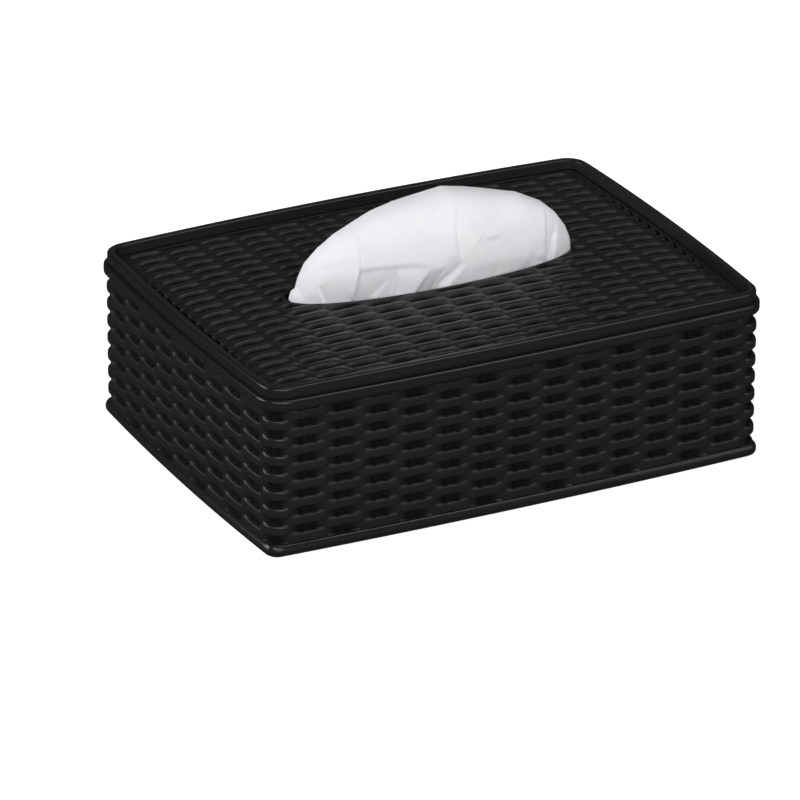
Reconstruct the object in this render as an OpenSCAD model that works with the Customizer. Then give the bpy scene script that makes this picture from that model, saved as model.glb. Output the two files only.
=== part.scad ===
// Tissue box with a lift-off lid, moulded in dark plastic to look like woven cane.
// Millimetres. The origin is the middle of the underside, with +Z up, X along the
// long side, and the long front wall at -Y. Every side bows outward a little.

/* [Box] */
// Length of the foot rim, corner to corner
foot_l = 250; // [220:1:300]
// Width of the foot rim, corner to corner
foot_w = 181; // [160:1:220]
// Height of the box up to the parting line
body_h = 76.8; // [60:0.2:110]
// How far the long sides bow outward in the middle
bow_long = 2.5; // [0:0.1:5]
// How far the short sides bow outward in the middle
bow_short = 2.2; // [0:0.1:5]
// Height of the foot rim
foot_h = 6.3; // [4:0.1:9]
// Corner radius of the foot rim
foot_r = 6.4; // [4:0.2:9]
// Height of the rounded bead round the top edge
bead_h = 5.6; // [4:0.2:9]
// How far that bead stands out past the foot rim
bead_out = 1.4; // [0.6:0.1:2.4]
// Thickness of the walls behind the weave
wall_t = 2.3; // [1.6:0.1:3.4]
// Thickness of the floor
floor_t = 2.2; // [1.6:0.1:4]

/* [Weave] */
// Gaps between upright stakes along a long side
stakes_long = 14; // [8:2:20]
// Gaps between upright stakes along a short side
stakes_short = 10; // [6:2:16]
// Rows of strands up the walls
wall_rows = 15; // [9:2:21]
// Strands across the lid
lid_rows = 40; // [20:2:50]
// Share of each row that its strand fills
strand_fill = 0.86; // [0.7:0.01:0.95]
// How far a strand swings out and in as it passes the stakes
weave_a = 0.55; // [0.3:0.05:0.9]
// How far the stakes lie in from the foot rim's edge
weave_in = 1.4; // [1:0.1:2.4]
// Corner radius of the woven walls
weave_r = 7.5; // [4:0.5:10]

/* [Lid] */
// Height of the lid's edge above the parting line
lid_h = 4.8; // [3.6:0.1:8]
// Corner radius of the lid's edge
lid_r = 10.5; // [8.5:0.5:16]
// How far the lid's edge lies in from the foot rim's edge
lid_in = 0.3; // [0:0.1:1]
// Width of the raised rim round the lid
rim_w = 5; // [3.6:0.1:8]
// Depth of the woven panel below the rim
rim_drop = 4; // [2.4:0.1:4.4]
// Width of the plain ledge between the rim and the weave
ledge_w = 2.8; // [1:0.1:5]
// Thickness of the lid's panel
panel_t = 2.2; // [1.6:0.1:3]
// How far the panel swells up in the middle
panel_bow = 4; // [0:0.1:5]
// How far the locating skirt reaches down inside the box
skirt_h = 7; // [4:0.5:12]
// Thickness of the locating skirt
skirt_t = 1.8; // [1.2:0.1:3]
// Gap between the skirt and the walls
skirt_gap = 0.5; // [0.3:0.1:1.2]

/* [Slot] */
// Length of the tissue slot
slot_l = 145.4; // [110:1:170]
// Width of the tissue slot in the middle
slot_w = 43.6; // [28:0.2:52]
// Width of the raised lip round the slot
lip_w = 1.7; // [1.4:0.1:4]
// Height of that lip above the woven panel
lip_rise = 0.6; // [0.2:0.1:3]
// How far that lip turns down below the panel
lip_drop = 1.6; // [0.5:0.1:4]

/* [Tissues] */
// Length of the folded stack
stack_l = 213; // [150:1:215]
// Width of the folded stack
stack_w = 108; // [80:1:140]
// Height of the stack
stack_h = 50; // [10:1:50]
// Thickness of the next tissue, folded on the stack
fold_t = 1; // [0.6:0.1:2]
// Height of the pulled-up tissue above the woven panel
dome_h = 44; // [20:0.5:60]
// Length of its arched crest
dome_l = 141.6; // [90:0.2:150]
// How far the top of the arch lies towards the right end
dome_x = 2; // [-8:0.5:8]
// Height at which it stands at the slot's tips
dome_end_h = 6; // [2:0.5:12]
// Gap between the pulled-up tissue and the slot
dome_gap = 0.7; // [0.5:0.1:2]
// Share of the slot's rear half that it fills
dome_back = 0.45; // [0.3:0.05:0.6]
// Depth of the tissue's main folds
fold_d = 1.5; // [0:0.1:2.5]

/* [Hidden] */

charcoal = [0.13, 0.13, 0.14];
paper = [0.93, 0.93, 0.95];

corner_steps = 6;                          // facets round a corner
side_steps = 8;                            // facets along a bowed side
edge_r = 1.2;                              // rounding of moulded edges
seat_gap = 0.2;                            // between loose paper pieces

notch_in = weave_in + weave_a;             // innermost surface of the weave
inner_in = notch_in + wall_t;              // inside of the walls
inner_r = 3;
bead_r = lid_r + bead_out;
weave_z0 = foot_h + edge_r * 0.7;          // foot of the lowest strand row
row_h = (body_h - bead_h - weave_z0 + 0.2) / wall_rows;

lid_top = body_h + lid_h;
ledge_z = lid_top - rim_drop;              // top of the panel's stakes and ledge
panel_z = ledge_z - panel_t;               // underside of the panel
lip_z = ledge_z + lip_rise;                // top of the slot's lip, before the swell
rim_in = lid_in + rim_w;
panel_in = rim_in + ledge_w;               // edge of the woven area
lid_pitch = (foot_l - 2 * weave_in) / stakes_long;   // lines up with the walls
lid_row = (foot_w - 2 * panel_in + 2 * bow_long) / lid_rows;
skirt_in = inner_in + skirt_gap;

stack_top = floor_t + stack_h;
dome_z0 = stack_top + fold_t + seat_gap;   // foot of the pulled-up tissue
dome_stations = 40;
eye_steps = 60;                            // facets round the slot
arch_steps = 18;

// ---- outlines -----------------------------------------------------------

function turned(pts, ang) =
    [for (p = pts) [p.x * cos(ang) - p.y * sin(ang), p.x * sin(ang) + p.y * cos(ang)]];

function arc(c, r, from, to, steps) =
    [for (i = [0 : steps]) c + r * [cos(from + (to - from) * i / steps),
                                    sin(from + (to - from) * i / steps)]];

// How far a side stands out at u, where u runs from -1 to 1 along it.
function bulge(u, bow) = bow * (1 - u * u);

// One bowed side, seen as the front one, stopping short of its corners.
function plain_side(half, reach, bow, r) =
    [for (i = [1 : side_steps - 1]) let(u = 2 * i / side_steps - 1)
        [u * (half - r), -reach - bulge(u, bow)]];

// The box's outline in plan, drawn in by `inset` from the foot rim's edge.
function outline(inset, r) =
    let(hx = foot_l / 2 - inset, hy = foot_w / 2 - inset)
    concat(plain_side(hx, hy, bow_long, r),
           arc([hx - r, -hy + r], r, -90, 0, corner_steps),
           turned(plain_side(hy, hx, bow_short, r), 90),
           arc([hx - r, hy - r], r, 0, 90, corner_steps),
           turned(plain_side(hx, hy, bow_long, r), 180),
           arc([-hx + r, hy - r], r, 90, 180, corner_steps),
           turned(plain_side(hy, hx, bow_short, r), 270),
           arc([-hx + r, -hy + r], r, 180, 270, corner_steps));

// +1 where a strand of this row passes over stake k, -1 where it passes under.
function over(k, row) = (k + row) % 2 == 0 ? -1 : 1;

// One woven side: each strand is level over a stake and crosses between stakes.
function woven_side(half, reach, bow, stakes, row) =
    let(pitch = 2 * half / stakes)
    [for (k = [-stakes / 2 : stakes / 2], q = [-0.25, 0.25])
        let(x = (k + q) * pitch)
        if (abs(x) < half - weave_r)
            [x, -reach - bulge(x / half, bow) - weave_a * over(abs(k), row)]];

// The outline of one row of strands. The corners count as odd stakes.
function woven(row) =
    let(hx = foot_l / 2 - weave_in, hy = foot_w / 2 - weave_in,
        out = weave_a * over(1, row), r = weave_r,
        front = woven_side(hx, hy, bow_long, stakes_long, row),
        right = woven_side(hy, hx, bow_short, stakes_short, row))
    concat(front, arc([hx - r, -hy + r], r + out, -90, 0, 3),
           turned(right, 90), arc([hx - r, hy - r], r + out, 0, 90, 3),
           turned(front, 180), arc([-hx + r, hy - r], r + out, 90, 180, 3),
           turned(right, 270), arc([-hx + r, -hy + r], r + out, 180, 270, 3));

// The slot is an ellipse. This is its outline, grown outward.
function eye(grow) =
    [for (i = [0 : eye_steps - 1]) let(t = 360 * i / eye_steps)
        [(slot_l / 2 + grow) * cos(t), (slot_w / 2 + grow) * sin(t)]];

// Half the slot's width at x, less a gap.
function eye_half(x, gap) =
    (slot_w / 2 - gap) * sqrt(max(0, 1 - pow(x / (slot_l / 2 - gap), 2)));

// How far the lid's panel has swollen up at a point.
function swell(x, y) =
    panel_bow * max(0, 1 - pow(x / (foot_l / 2 - panel_in), 2)) *
    max(0, 1 - pow(abs(y) / (foot_w / 2 - panel_in + bow_long / 2), 2.6));

// ---- helpers ------------------------------------------------------------

// A closed skin over a list of rings that have equally many points.
module skin(rings) {
    n = len(rings[0]);
    last = len(rings) - 1;
    polyhedron(
        points = [for (ring = rings, p = ring) p],
        faces = concat(
            [[for (j = [0 : n - 1]) j]],
            [for (i = [0 : last - 1], j = [0 : n - 1])
                [i * n + j, (i + 1) * n + j, (i + 1) * n + (j + 1) % n, i * n + (j + 1) % n]],
            [[for (j = [n - 1 : -1 : 0]) last * n + j]]),
        convexity = 4);
}

// A moulding that follows the box's outline: profile is a list of [z, inset].
module moulding(profile, r) {
    skin([for (p = profile) [for (q = outline(p[1], r)) [q.x, q.y, p[0]]]]);
}

module plate(z0, z1, inset, r) {
    translate([0, 0, z0]) linear_extrude(z1 - z0) polygon(outline(inset, r));
}

// ---- pieces -------------------------------------------------------------

module foot_rim() {
    moulding([for (p = [[0, 2], [0.06, 0.9], [0.2, 0.25], [0.42, 0], [0.6, 0], [0.8, 0.25],
                        [0.93, 0.9], [1, 2]]) [p[0] * foot_h, p[1]]], foot_r);
}

module top_bead() {
    z0 = body_h - bead_h;
    moulding([[z0 - 0.2, 1.6], [z0 + 0.2, 0.2 - bead_out], [z0 + edge_r, -bead_out],
              [body_h - edge_r, -bead_out], [body_h - 0.4, 0.4 - bead_out],
              [body_h, 1.2 - bead_out]], bead_r);
}

module wall_strands() {
    for (row = [1 : wall_rows])
        translate([0, 0, weave_z0 + (wall_rows - row + (1 - strand_fill) / 2) * row_h])
            linear_extrude(row_h * strand_fill) polygon(woven(row));
}

module body() {
    color(charcoal) difference() {
        union() {
            foot_rim();
            plate(foot_h / 2, body_h - bead_h / 2, weave_in, weave_r);
            wall_strands();
            top_bead();
        }
        plate(floor_t, body_h + 1, inner_in, inner_r);
    }
}

// The lid's edge and rim, solid across, before the panel is sunk into it.
module lid_block() {
    moulding([[body_h, lid_in + 0.8], [body_h + 0.5, lid_in], [lid_top - edge_r, lid_in],
              [lid_top - 0.35, lid_in + 0.35], [lid_top, lid_in + edge_r]], lid_r);
    plate(panel_z, body_h + 0.5, skirt_in, inner_r);
}

// A low dome under the panel's top or underside at z, from an inset inward.
module lid_dome(z, inset) {
    reach = foot_w / 2 - inset;
    skin(concat([[for (q = outline(inset, 3)) [q.x, q.y, z - 1]]],
                [for (share = [0, 0.06, 0.14, 0.24, 0.36, 0.48, 0.6, 0.72])
                    [for (q = outline(inset + share * reach, 3)) [q.x, q.y, z + swell(q.x, q.y)]]],
                [[for (q = outline(inset + 0.82 * reach, 3)) [q.x, q.y, z + panel_bow]]]));
}

module lid_recess() {
    moulding([[ledge_z, rim_in], [ledge_z + 0.6, rim_in - 0.4], [lid_top - 0.6, rim_in - 1],
              [lid_top + 0.01, rim_in - 1.6]], lid_r - rim_w);
}

module skirt() {
    difference() {
        plate(body_h - skirt_h, panel_z + 0.5, skirt_in, inner_r);
        plate(body_h - skirt_h - 1, panel_z + 1, skirt_in + skirt_t, inner_r);
    }
}

// One strand of the lid, seen from the front: a ribbon that waves over the stakes.
function lid_strand(row) =
    let(half = foot_l / 2, n = stakes_long / 2, y = (row - (lid_rows + 1) / 2) * lid_row)
    concat([[-half, ledge_z - 1]], [[half, ledge_z - 1]],
           [for (k = [n : -1 : -n], q = [0.25, -0.25]) let(x = (k + q) * lid_pitch)
               if (abs(x) <= half) [x, ledge_z + swell(x, y) + weave_a * (over(abs(k), row + 1) - 0.4)]]);

module lid_strands() {
    intersection() {
        for (row = [0 : lid_rows - 1])
            translate([0, (row - lid_rows / 2 + (1 + strand_fill) / 2) * lid_row, 0])
                rotate([90, 0, 0]) linear_extrude(lid_row * strand_fill)
                    polygon(lid_strand(row + 1));
        plate(ledge_z - 2, lid_top + panel_bow, panel_in, 3);
    }
}

// One ring that follows the slot: it rises with the panel, or lies level.
function eye_ring(z, grow, bowed = 1) =
    [for (q = eye(grow)) [q.x, q.y, z + (bowed == 1 ? swell(q.x, q.y) : 0)]];

// The lip round the slot, solid across: it stands up past the weave and down below.
module slot_lip() {
    foot = panel_z - lip_drop;
    skin([eye_ring(foot + 0.8 * panel_bow, -2, 0), eye_ring(foot, lip_w),
          eye_ring(lip_z - 0.6, lip_w), eye_ring(lip_z - 0.15, lip_w - 0.25),
          eye_ring(lip_z, lip_w - 0.6), eye_ring(lip_z + panel_bow, -2, 0)]);
}

module slot_cut() {
    skin([eye_ring(panel_z - lip_drop - 1, 0, 0), eye_ring(lip_z - 0.5, 0),
          eye_ring(lip_z - 0.12, 0.2), eye_ring(lip_z, 0.5),
          eye_ring(lip_z + panel_bow + 1, 0.5, 0)]);
}

module lid() {
    color(charcoal) difference() {
        union() {
            difference() {
                union() {
                    difference() {
                        lid_block();
                        lid_recess();
                    }
                    lid_dome(ledge_z, panel_in);
                }
                lid_dome(panel_z, skirt_in + skirt_t + 1);
            }
            skirt();
            difference() {
                lid_strands();
                lid_dome(panel_z, skirt_in + skirt_t + 1);
            }
            slot_lip();
        }
        slot_cut();
    }
}

module tissue_stack() {
    color(paper) translate([-stack_l / 2, -stack_w / 2, floor_t])
        cube([stack_l, stack_w, stack_h]);
}

module next_tissue() {
    color(paper) translate([-stack_l / 2, -stack_w / 2 + seat_gap, stack_top])
        cube([stack_l, stack_w - 2 * seat_gap, fold_t]);
}

// Depth of the folds at a place: creases that run up over the dome at a slant.
function crease(x, t) =
    fold_d * (pow(abs(sin(5.2 * x + 0.7 * t)), 3) + 0.6 * pow(abs(sin(3.1 * x - 1.1 * t + 40)), 4));

// The section of the pulled-up tissue at x: an arch on upright sides, which fills
// the slot to its front edge and leaves it open behind.
function dome_section(x) =
    let(front = max(eye_half(x, dome_gap), 0.8), rear = front * dome_back,
        u = (x - dome_x) / (dome_l / 2),
        h = max(dome_h * sqrt(max(0, 1 - u * u)), dome_end_h))
    concat([[x, rear, dome_z0], [x, -front, dome_z0]],
           [for (i = [0 : arch_steps])
               let(t = 180 * i / arch_steps, w = t < 90 ? front : rear,
                   d = min(crease(x, t), w * 0.3, h * 0.2))
               [x, -(w - d * abs(cos(t))) * cos(t), ledge_z + (h - d) * sin(t)]]);

module leading_tissue() {
    half = slot_l / 2 - dome_gap;
    color(paper) skin([for (i = [0 : dome_stations])
        dome_section(-half * cos(180 * i / dome_stations) * 0.995)]);
}

body();
lid();
tissue_stack();
next_tissue();
leading_tissue();
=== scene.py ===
# %% [markdown]
# # A woven-look tissue box
# The real box is two mouldings of charcoal polypropylene, made to look like woven cane:
# a low box with bowed sides, and a lid that lifts straight off. A folded stack of tissues
# lies inside, and the top sheet is pulled up through a lens-shaped slot in the lid.
# The CAD frame fixes where everything goes. This script only makes it look right.

# %% Load the frame
import math

import bmesh
import bpy
import numpy as np
from mathutils import Matrix, Vector


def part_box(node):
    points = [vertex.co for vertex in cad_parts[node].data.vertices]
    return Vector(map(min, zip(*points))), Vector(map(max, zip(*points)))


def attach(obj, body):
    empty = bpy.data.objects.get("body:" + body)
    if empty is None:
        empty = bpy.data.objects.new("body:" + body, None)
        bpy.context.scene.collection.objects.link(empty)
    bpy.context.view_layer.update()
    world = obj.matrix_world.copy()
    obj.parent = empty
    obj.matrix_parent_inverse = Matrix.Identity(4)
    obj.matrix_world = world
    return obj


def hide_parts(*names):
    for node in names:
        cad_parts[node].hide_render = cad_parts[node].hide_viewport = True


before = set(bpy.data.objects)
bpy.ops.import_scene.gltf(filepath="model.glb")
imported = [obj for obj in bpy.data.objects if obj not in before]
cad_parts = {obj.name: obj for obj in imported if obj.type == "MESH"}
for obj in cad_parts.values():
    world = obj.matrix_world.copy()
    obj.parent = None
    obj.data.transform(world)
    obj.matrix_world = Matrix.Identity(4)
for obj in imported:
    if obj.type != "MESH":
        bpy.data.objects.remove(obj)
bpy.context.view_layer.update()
scene = bpy.context.scene
PI = math.pi
MM = 0.001  # lengths below are in millimetres, and meshes are made in metres

body_low, body_high = np.array(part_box("body")) / MM
BODY_TOP = body_high[2]  # the parting line
LID_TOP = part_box("lid")[1][2] / MM  # the CAD lid's highest point
print("box, mm:", body_high - body_low, "lid top at", LID_TOP)

# %% [markdown]
# ## Camera
# A long lens from the front left, a little above, gives nearly parallel edges, as in the
# photograph. Its place, turn and length were found by fitting a box of the real
# proportions to the object's edges in the picture.

# %% Camera
AZIMUTH, ELEVATION, ROLL = (math.radians(a) for a in (26.891, 24.695, 0.251))
DISTANCE = 3101.9  # from the middle of the view to the lens
AIM_RIGHT, AIM_UP = -13.308, 14.602  # the middle of the view, from the origin
LENS_MM, SENSOR_MM = 302.08, 36.0


def place_camera():
    """A camera at the photograph's viewing angle, looking along -Z in its own axes."""
    back = Vector((-math.sin(AZIMUTH) * math.cos(ELEVATION),
                   -math.cos(AZIMUTH) * math.cos(ELEVATION), math.sin(ELEVATION)))
    level = Vector((math.cos(AZIMUTH), -math.sin(AZIMUTH), 0))
    upright = back.cross(level)
    right = level * math.cos(ROLL) + upright * math.sin(ROLL)
    up = upright * math.cos(ROLL) - level * math.sin(ROLL)
    data = bpy.data.cameras.new("camera")
    data.lens, data.sensor_width, data.clip_end = LENS_MM, SENSOR_MM, 20
    camera = bpy.data.objects.new("camera", data)
    scene.collection.objects.link(camera)
    turn = Matrix((right, up, back)).transposed().to_4x4()
    turn.translation = (back * DISTANCE + right * AIM_RIGHT + up * AIM_UP) * MM
    camera.matrix_world = turn
    return camera


scene.camera = place_camera()
print("camera at", [round(v, 3) for v in scene.camera.matrix_world.translation])

# %% [markdown]
# ## A few small helpers
# Every node below is added by one function, which makes it, applies its settings, and
# fills or links its inputs. Others start and end a geometry tree, and shorten the nodes
# that do sums. Colours are written as the hex values a paint program shows, and turned
# into the linear values that Blender works in.

# %% Helpers for nodes and colours


def add(tree, kind, inputs=(), **settings):
    """Adds a node. inputs is a list from the first socket on, or a dict by name or number.
    A node given as a value stands for its first output."""
    node = tree.nodes.new(kind)
    for name, value in settings.items():
        setattr(node, name, value)
    pairs = inputs.items() if isinstance(inputs, dict) else enumerate(inputs)
    for key, value in pairs:
        if isinstance(value, bpy.types.Node):
            value = value.outputs[0]
        if isinstance(value, bpy.types.NodeSocket):
            tree.links.new(value, node.inputs[key])
        elif value is not None:
            node.inputs[key].default_value = value
    return node


def sums(tree):
    """A function that adds a math node to the tree: an operation, then its inputs."""
    return lambda operation, *values: add(tree, "ShaderNodeMath", values, operation=operation)


def new_tree(name, inputs, output=("Geometry", "Geometry")):
    """A geometry tree whose sockets are (name, kind) pairs, and what its inputs give."""
    tree = bpy.data.node_groups.new(name, "GeometryNodeTree")
    for direction, sockets in (("INPUT", inputs), ("OUTPUT", [output])):
        for label, kind in sockets:
            tree.interface.new_socket(label, in_out=direction, socket_type="NodeSocket" + kind)
    return tree, add(tree, "NodeGroupInput").outputs


def finish_tree(tree, geometry, material):
    """Ends a tree: makes its instances real and gives everything the material."""
    real = add(tree, "GeometryNodeRealizeInstances", [geometry])
    dressed = add(tree, "GeometryNodeSetMaterial", {"Geometry": real, "Material": material})
    add(tree, "NodeGroupOutput", [dressed])


def colour(code):
    """Linear RGBA from an sRGB hex code such as #1a1a1c."""
    parts = [int(code[i:i + 2], 16) / 255 for i in (1, 3, 5)]
    return [c / 12.92 if c <= 0.04045 else ((c + 0.055) / 1.055) ** 2.4 for c in parts] + [1]


def new_material(name):
    """A material with an empty node tree and its output node."""
    made = bpy.data.materials.new(name)
    made.use_nodes = True
    made.node_tree.nodes.clear()
    return made, made.node_tree, add(made.node_tree, "ShaderNodeOutputMaterial")


def noise(tree, place, size, detail, rough=0.5):
    """A noise texture whose features are about size millimetres across."""
    return add(tree, "ShaderNodeTexNoise",
               {"Vector": place, "Scale": 1 / (size * MM), "Detail": detail, "Roughness": rough})


print("near black:", [round(c, 4) for c in colour("#101011")])

# %% [markdown]
# ## Charcoal polypropylene, satin moulded
# Polypropylene coloured through with carbon black: near black, with a soft sheen, because
# the mould was lightly sand-blasted. That leaves a fine grain, too fine to see as grain,
# which spreads the highlights. Handling polishes what stands proud: the tops of the
# strands are glossier than the hollows, and the rims' edges glossier still. The colour is
# painted shade, darkest in the hollows and lightest on what stands proud and on the
# polished edges. A second, matt shader mixed into the hollows is painted shade too.
# The `relief` attribute, written by the weave's geometry and along the rims, says how
# proud a point is.

# %% Charcoal plastic
HOLLOW, PROUD = -1.2, 0.8  # heights in the weave where the ramps of roughness and painted shade begin and end, mm
POLISHED = 2.0  # the relief that the most handled edges count as: glossiest, and painted the lightest colour, a painted highlight
SHADE_TOP, SHADE_SHARE = -0.3, 0.5  # where the painted shade's matt shader begins in the hollows, and its share at the foot
MATT, GLOSSY = 0.6, 0.18  # roughness in the hollows and on the polished edges
GRAIN_MM = 0.55  # blasted grain, drawn coarser than life so that it shows
CLOUD_MM = 45  # size of the faint patches in the colour


def charcoal_plastic():
    made, tree, output = new_material("polypropylene_charcoal_satin")
    place = add(tree, "ShaderNodeTexCoord").outputs["Object"]
    grain, cloud = noise(tree, place, GRAIN_MM, 2, 0.6), noise(tree, place, CLOUD_MM, 3)
    relief = add(tree, "ShaderNodeAttribute", attribute_name="relief").outputs["Fac"]

    def by_relief(high, at_low, at_high):
        return add(tree, "ShaderNodeMapRange",
                   {"Value": relief, "From Min": HOLLOW, "From Max": high,
                    "To Min": at_low, "To Max": at_high})

    # Painted shade: the colour is darkest in the hollows and lightest on what stands proud and on
    # polished edges.
    tint = add(tree, "ShaderNodeValToRGB", [by_relief(PROUD, 0, 1)])
    tint.color_ramp.elements[0].color = colour("#030303")
    tint.color_ramp.elements[1].color = colour("#19191b")
    tint.color_ramp.elements.new(0.5).color = colour("#101011")
    patch = add(tree, "ShaderNodeMix", {0: 0.12, 6: tint, 7: cloud.outputs["Color"]},
                data_type="RGBA", blend_type="SOFT_LIGHT")
    bump = add(tree, "ShaderNodeBump",
               {"Strength": 0.25, "Distance": 0.02 * MM, "Height": grain.outputs["Fac"]})
    shader = add(tree, "ShaderNodeBsdfPrincipled",
                 {"Base Color": patch.outputs[2], "Roughness": by_relief(POLISHED, MATT, GLOSSY),
                  "Normal": bump, "IOR": 1.49, "Specular IOR Level": 0.42})
    # Painted shade: a matt, near black shader mixed in where the relief is low.
    hollow_shade = add(tree, "ShaderNodeBsdfPrincipled",
               {"Base Color": colour("#0a0a0a"), "Roughness": 1.0, "Specular IOR Level": 0.05})
    both = add(tree, "ShaderNodeMixShader", [by_relief(SHADE_TOP, SHADE_SHARE, 0), shader, hollow_shade])
    tree.links.new(both.outputs[0], output.inputs["Surface"])
    return made


plastic = charcoal_plastic()
print("made", plastic.name)

# %% [markdown]
# ## The outline that every moulding follows
# In plan the box is a rectangle whose sides bow outward by a couple of millimetres, with
# rounded corners. All the rings below are this one outline, drawn in or out. A station is
# a place along it, counted in upright stakes of the weave, so that the weave, the rims and
# the inside share their columns and the whole box is one closed mesh.

# %% Outline
BOW_LONG, BOW_SHORT, BEAD_OUT = 2.5, 2.2, 1.4  # how far sides bow, and the bead stands, out
STAKES = (14, 10, 14, 10)  # gaps between stakes: front, right, rear, left
FOOT_X = body_high[0] - BOW_SHORT - BEAD_OUT  # half the foot rim, corner to corner
FOOT_Y = body_high[1] - BOW_LONG - BEAD_OUT
HALF = ((FOOT_X, FOOT_Y, BOW_LONG), (FOOT_Y, FOOT_X, BOW_SHORT)) * 2
TIGHTEST = 0.6  # the least corner radius that a ring may have
SHARP = math.radians(38)  # folds steeper than this are shaded as edges
print("foot rim, mm:", 2 * FOOT_X, 2 * FOOT_Y)


def stations(parts):
    """Every station round the outline, as (side, place along it from -1 to 1, stake number).
    parts are the places within the gap from one stake to the next."""
    rows = [(side, 2 * (k + part) / count, k + part)
            for side, count in enumerate(STAKES)
            for k in range(-count // 2, count // 2) for part in parts]
    side, along, stake = (np.array(column) for column in zip(*rows))
    return side.astype(int), along, stake


def outline(where, inset, radius):
    """Points of the outline at the stations, and which way is out, drawn in by inset."""
    side, along, _ = where
    half, reach, bow = (np.array([HALF[i][j] for i in side]) for j in range(3))
    half, reach = half - inset, reach - inset
    flat = half - radius
    run = along * half
    turn = np.clip((np.abs(run) - flat) / radius, 0, 1) * np.sign(run) * PI / 4
    bend = 2 * bow * np.clip(run, -flat, flat) / flat ** 2
    x = np.clip(run, -flat, flat) + radius * np.sin(turn)
    y = -(reach - radius) - radius * np.cos(turn) - bow * (1 - np.clip(run / flat, -1, 1) ** 2)
    out_x = np.where(turn == 0, bend, np.sin(turn))
    out_y = np.where(turn == 0, -1, -np.cos(turn))
    size = np.hypot(out_x, out_y)
    quarter = side * PI / 2
    c, s = np.cos(quarter), np.sin(quarter)
    points = np.stack([x * c - y * s, x * s + y * c], 1)
    outward = np.stack([out_x * c - out_y * s, out_x * s + out_y * c], 1) / size[:, None]
    return points, outward


def rounded(corners, steps=4):
    """A profile as (inset, z) points. Each corner is (inset, z, radius) and is rounded."""
    points = []
    for i, (x, z, radius) in enumerate(corners):
        here = np.array([x, z])
        if radius == 0 or i in (0, len(corners) - 1):
            points.append(here)
            continue
        before, after = (np.array(corners[j][:2]) - here for j in (i - 1, i + 1))
        before, after = before / np.linalg.norm(before), after / np.linalg.norm(after)
        between = math.acos(float(np.clip(before @ after, -1, 1)))
        reach = radius / math.tan(between / 2)
        inward = (before + after) / np.linalg.norm(before + after)
        centre = here + inward * radius / math.sin(between / 2)
        start, end = here + before * reach - centre, here + after * reach - centre
        angle = PI - between
        for t in np.linspace(0, 1, steps + 1):
            mix = (math.sin((1 - t) * angle) * start + math.sin(t * angle) * end) / math.sin(angle)
            points.append(centre + mix)
    return points


# %% Meshes from rings


def ring_mesh(name, rings, closed=False):
    """A mesh over equal rings of points. Its ends are capped, or joined if closed."""
    points = np.concatenate(rings) * MM
    n, count = len(rings[0]), len(rings)
    around = np.arange(n)
    following = (around + 1) % n
    pairs = [(i, (i + 1) % count) for i in range(count if closed else count - 1)]
    faces = [quad for a, b in pairs
             for quad in np.stack([a * n + around, a * n + following,
                                   b * n + following, b * n + around], 1).tolist()]
    if not closed:
        faces += [around[::-1].tolist(), ((count - 1) * n + around).tolist()]
    made = bpy.data.meshes.new(name)
    made.from_pydata(points.tolist(), [], faces)
    return made


def level(where, inset, z, radius):
    """One ring of the outline at height z. radius is that of the foot rim's edge."""
    points, _ = outline(where, inset, max(radius - inset, TIGHTEST))
    return np.column_stack([points, z + np.zeros(len(points))])


def give(made, name, values, kind="FLOAT"):
    """Writes one value per point as a named attribute."""
    field = "vector" if kind == "FLOAT_VECTOR" else "value"
    made.attributes.new(name, kind, "POINT").data.foreach_set(field, np.ravel(values))


def show(made, *materials):
    """A finished object at the origin, smooth except across sharp edges."""
    made.update()
    made.set_sharp_from_angle(angle=SHARP)
    made.shade_smooth()
    piece = bpy.data.objects.new(made.name, made)
    scene.collection.objects.link(piece)
    for material in materials:
        made.materials.append(material)
    return piece


def tell(piece):
    print(piece.name + ":", len(piece.data.polygons), "faces")


print("stakes round the box:", len(stations([0])[0]))

# %% [markdown]
# ## The weave, with Geometry Nodes
# Real cane is woven from level strands that pass in front of one upright stake and behind
# the next, and each row is shifted by one stake. The moulding copies that in low relief.
# A bump texture would leave the edges of the box smooth, so the relief is real geometry.
# Its height is a rule of two numbers, how many stakes along and how many rows up, so one
# node tree works it out for the walls and the lid, which carry both as attributes.

# %% One strand
# Millimetres, but widths are shares of the gap between rows or stakes. A strand swings
# from Rise over one stake to Dip under the next.
NARROW = 0.54  # half a strand's width where it crosses a stake
SQUEEZE = 0.3  # how much of the room left it takes up in between, as a share
FLANK = 6  # how steeply strands and stakes fall away at their sides
WEAVE = {"Rise": 0.9, "Dip": 2.0, "Plunge": 3.0, "Crown": 1.8, "Half Width": NARROW,
         "Squareness": 4.0, "Spread": (1 - NARROW) * SQUEEZE, "Stake Half Width": 0.08,
         "Stake Level": -1.3, "Stake Crown": 0.5, "Blend": 0.08}
STRAND_INPUTS = ("Rise", "Dip", "Plunge", "Crown", "Half Width", "Squareness", "Spread")


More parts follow.
